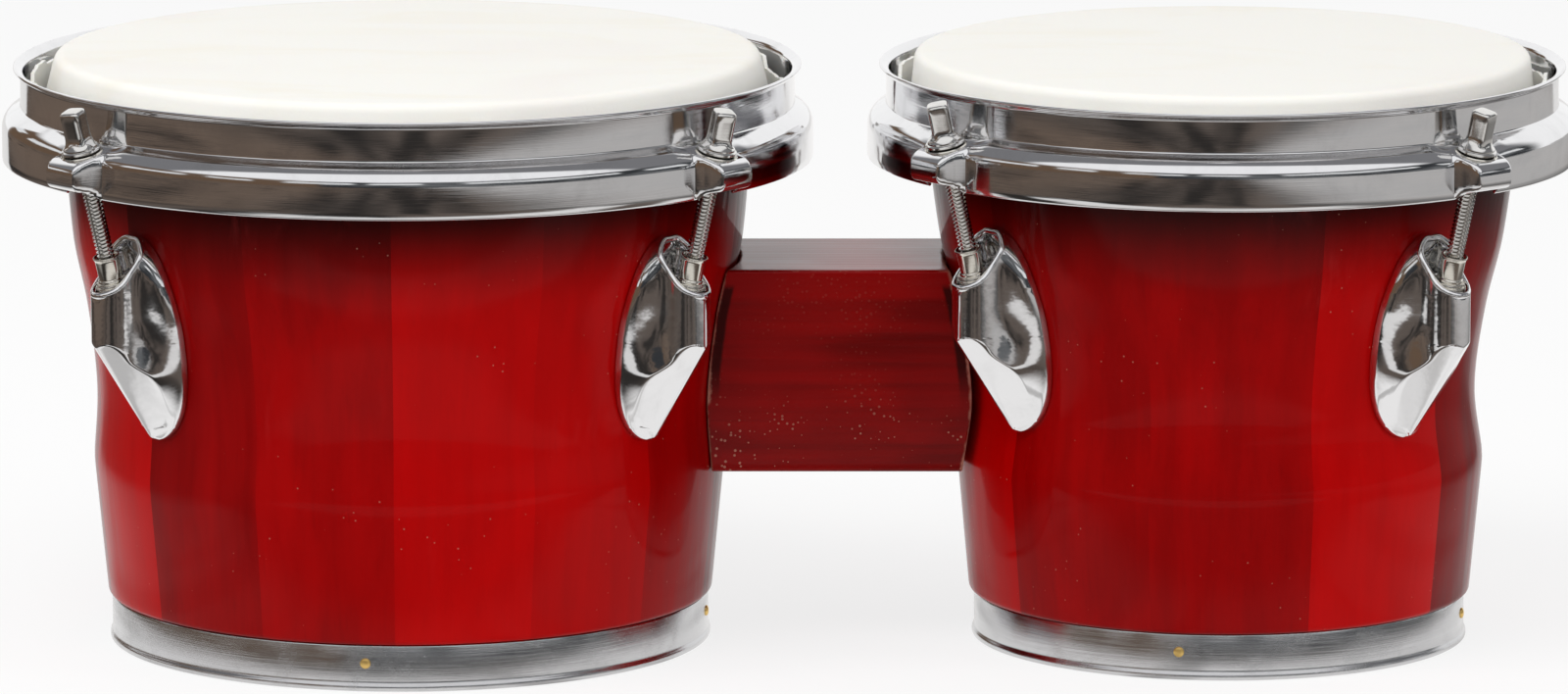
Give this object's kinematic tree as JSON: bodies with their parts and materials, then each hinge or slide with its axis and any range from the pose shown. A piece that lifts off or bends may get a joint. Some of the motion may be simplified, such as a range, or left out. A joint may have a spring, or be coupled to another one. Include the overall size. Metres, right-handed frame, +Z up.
{
  "type": "bongos",
  "caption": "Pair of tapered stave drums joined by a wooden block, with rawhide heads pulled down by pressed rims and leaning tension rods that screw into cast lugs.",
  "frame": {"origin": "on the floor under the middle of the whole instrument", "axes": "+X from the large drum to the small drum, -Y toward the viewer of the picture, +Z up through the heads"},
  "size_m": [0.4288, 0.2198, 0.1622],
  "materials": {
    "shell_wood": "stave-built wood in a clear red stain under deep gloss lacquer",
    "block_wood": "darker maroon stain, glossy front, rubbed matt top face, pale worn edges",
    "rawhide": "natural rawhide, cream, faintly clouded, semi-matt",
    "rim_chrome": "mirror chrome plate on pressed sheet steel",
    "cast_chrome": "chrome plate on a casting, softly uneven",
    "rod_chrome": "chromed steel, slightly dull",
    "nickel": "nickel plate, warm and slightly dull",
    "satin_band": "bright band metal with a satin surface",
    "zinc_fastener": "zinc plate",
    "hoop_wire": "bare drawn steel wire"
  },
  "bodies": {
    "root": {"shell_large": "shell_wood", "base_ring_large": "satin_band", "head_large": "rawhide", "flesh_hoop_large": "hoop_wire", "lug_large_1": "cast_chrome", "lug_large_2": "cast_chrome", "lug_large_3": "cast_chrome", "lug_large_4": "cast_chrome", "lug_nut_large_1": "nickel", "lug_nut_large_2": "nickel", "lug_nut_large_3": "nickel", "lug_nut_large_4": "nickel", "lug_screw_large_1": "zinc_fastener", "lug_screw_large_2": "zinc_fastener", "lug_screw_large_3": "zinc_fastener", "lug_screw_large_4": "zinc_fastener", "block_bolt_large_1": "zinc_fastener", "block_bolt_large_2": "zinc_fastener", "shell_small": "shell_wood", "base_ring_small": "satin_band", "head_small": "rawhide", "flesh_hoop_small": "hoop_wire", "lug_small_1": "cast_chrome", "lug_small_2": "cast_chrome", "lug_small_3": "cast_chrome", "lug_small_4": "cast_chrome", "lug_nut_small_1": "nickel", "lug_nut_small_2": "nickel", "lug_nut_small_3": "nickel", "lug_nut_small_4": "nickel", "lug_screw_small_1": "zinc_fastener", "lug_screw_small_2": "zinc_fastener", "lug_screw_small_3": "zinc_fastener", "lug_screw_small_4": "zinc_fastener", "block_bolt_small_1": "zinc_fastener", "block_bolt_small_2": "zinc_fastener", "center_block": "block_wood"},
    "rim_large_body": {"rim_large": "rim_chrome"},
    "washer_large_1_body": {"washer_large_1": "nickel"},
    "rod_large_1_body": {"tension_rod_large_1": "rod_chrome"},
    "washer_large_2_body": {"washer_large_2": "nickel"},
    "rod_large_2_body": {"tension_rod_large_2": "rod_chrome"},
    "washer_large_3_body": {"washer_large_3": "nickel"},
    "rod_large_3_body": {"tension_rod_large_3": "rod_chrome"},
    "washer_large_4_body": {"washer_large_4": "nickel"},
    "rod_large_4_body": {"tension_rod_large_4": "rod_chrome"},
    "rim_small_body": {"rim_small": "rim_chrome"},
    "washer_small_1_body": {"washer_small_1": "nickel"},
    "rod_small_1_body": {"tension_rod_small_1": "rod_chrome"},
    "washer_small_2_body": {"washer_small_2": "nickel"},
    "rod_small_2_body": {"tension_rod_small_2": "rod_chrome"},
    "washer_small_3_body": {"washer_small_3": "nickel"},
    "rod_small_3_body": {"tension_rod_small_3": "rod_chrome"},
    "washer_small_4_body": {"washer_small_4": "nickel"},
    "rod_small_4_body": {"tension_rod_small_4": "rod_chrome"}
  },
  "joints": [
    {"name": "rim_large_lift", "type": "slide", "parent": "root", "child": "rim_large_body", "axis": [0, 0, 1], "range_m": [0, 0.00438]},
    {"name": "washer_large_1_lift", "type": "slide", "parent": "root", "child": "washer_large_1_body", "axis": [-0.1974, -0.1674, 0.9659], "range_m": [0, 0.00423]},
    {"name": "rod_large_1_turn", "type": "hinge", "parent": "washer_large_1_body", "child": "rod_large_1_body", "pos_m": [-0.18916, -0.07179, 0.144], "axis": [-0.1974, -0.1674, 0.9659], "range_deg": [0, 1440]},
    {"name": "washer_large_2_lift", "type": "slide", "parent": "root", "child": "washer_large_2_body", "axis": [0.1974, -0.1674, 0.9659], "range_m": [0, 0.00423]},
    {"name": "rod_large_2_turn", "type": "hinge", "parent": "washer_large_2_body", "child": "rod_large_2_body", "pos_m": [-0.01984, -0.07179, 0.144], "axis": [0.1974, -0.1674, 0.9659], "range_deg": [0, 1440]},
    {"name": "washer_large_3_lift", "type": "slide", "parent": "root", "child": "washer_large_3_body", "axis": [0.1974, 0.1674, 0.9659], "range_m": [0, 0.00423]},
    {"name": "rod_large_3_turn", "type": "hinge", "parent": "washer_large_3_body", "child": "rod_large_3_body", "pos_m": [-0.01984, 0.07179, 0.144], "axis": [0.1974, 0.1674, 0.9659], "range_deg": [0, 1440]},
    {"name": "washer_large_4_lift", "type": "slide", "parent": "root", "child": "washer_large_4_body", "axis": [-0.1974, 0.1674, 0.9659], "range_m": [0, 0.00423]},
    {"name": "rod_large_4_turn", "type": "hinge", "parent": "washer_large_4_body", "child": "rod_large_4_body", "pos_m": [-0.18916, 0.07179, 0.144], "axis": [-0.1974, 0.1674, 0.9659], "range_deg": [0, 1440]},
    {"name": "rim_small_lift", "type": "slide", "parent": "root", "child": "rim_small_body", "axis": [0, 0, 1], "range_m": [0, 0.00438]},
    {"name": "washer_small_1_lift", "type": "slide", "parent": "root", "child": "washer_small_1_body", "axis": [-0.2037, -0.1597, 0.9659], "range_m": [0, 0.00423]},
    {"name": "rod_small_1_turn", "type": "hinge", "parent": "washer_small_1_body", "child": "rod_small_1_body", "pos_m": [0.04222, -0.05973, 0.144], "axis": [-0.2037, -0.1597, 0.9659], "range_deg": [0, 1440]},
    {"name": "washer_small_2_lift", "type": "slide", "parent": "root", "child": "washer_small_2_body", "axis": [0.1742, -0.1914, 0.9659], "range_m": [0, 0.00423]},
    {"name": "rod_small_2_turn", "type": "hinge", "parent": "washer_small_2_body", "child": "rod_small_2_body", "pos_m": [0.18355, -0.0716, 0.144], "axis": [0.1742, -0.1914, 0.9659], "range_deg": [0, 1440]},
    {"name": "washer_small_3_lift", "type": "slide", "parent": "root", "child": "washer_small_3_body", "axis": [0.2037, 0.1597, 0.9659], "range_m": [0, 0.00423]},
    {"name": "rod_small_3_turn", "type": "hinge", "parent": "washer_small_3_body", "child": "rod_small_3_body", "pos_m": [0.19457, 0.05973, 0.144], "axis": [0.2037, 0.1597, 0.9659], "range_deg": [0, 1440]},
    {"name": "washer_small_4_lift", "type": "slide", "parent": "root", "child": "washer_small_4_body", "axis": [-0.1742, 0.1914, 0.9659], "range_m": [0, 0.00423]},
    {"name": "rod_small_4_turn", "type": "hinge", "parent": "washer_small_4_body", "child": "rod_small_4_body", "pos_m": [0.05325, 0.0716, 0.144], "axis": [-0.1742, 0.1914, 0.9659], "range_deg": [0, 1440]}
  ],
  "couplings": [
    {"joint": "rod_large_1_turn", "follows": "rim_large_lift", "rad_per_m": 5736.4},
    {"joint": "washer_large_1_lift", "follows": "rim_large_lift", "ratio": 0.96593},
    {"joint": "rod_large_2_turn", "follows": "rim_large_lift", "rad_per_m": 5736.4},
    {"joint": "washer_large_2_lift", "follows": "rim_large_lift", "ratio": 0.96593},
    {"joint": "rod_large_3_turn", "follows": "rim_large_lift", "rad_per_m": 5736.4},
    {"joint": "washer_large_3_lift", "follows": "rim_large_lift", "ratio": 0.96593},
    {"joint": "rod_large_4_turn", "follows": "rim_large_lift", "rad_per_m": 5736.4},
    {"joint": "washer_large_4_lift", "follows": "rim_large_lift", "ratio": 0.96593},
    {"joint": "rod_small_1_turn", "follows": "rim_small_lift", "rad_per_m": 5736.4},
    {"joint": "washer_small_1_lift", "follows": "rim_small_lift", "ratio": 0.96593},
    {"joint": "rod_small_2_turn", "follows": "rim_small_lift", "rad_per_m": 5736.4},
    {"joint": "washer_small_2_lift", "follows": "rim_small_lift", "ratio": 0.96593},
    {"joint": "rod_small_3_turn", "follows": "rim_small_lift", "rad_per_m": 5736.4},
    {"joint": "washer_small_3_lift", "follows": "rim_small_lift", "ratio": 0.96593},
    {"joint": "rod_small_4_turn", "follows": "rim_small_lift", "rad_per_m": 5736.4},
    {"joint": "washer_small_4_lift", "follows": "rim_small_lift", "ratio": 0.96593}
  ]
}
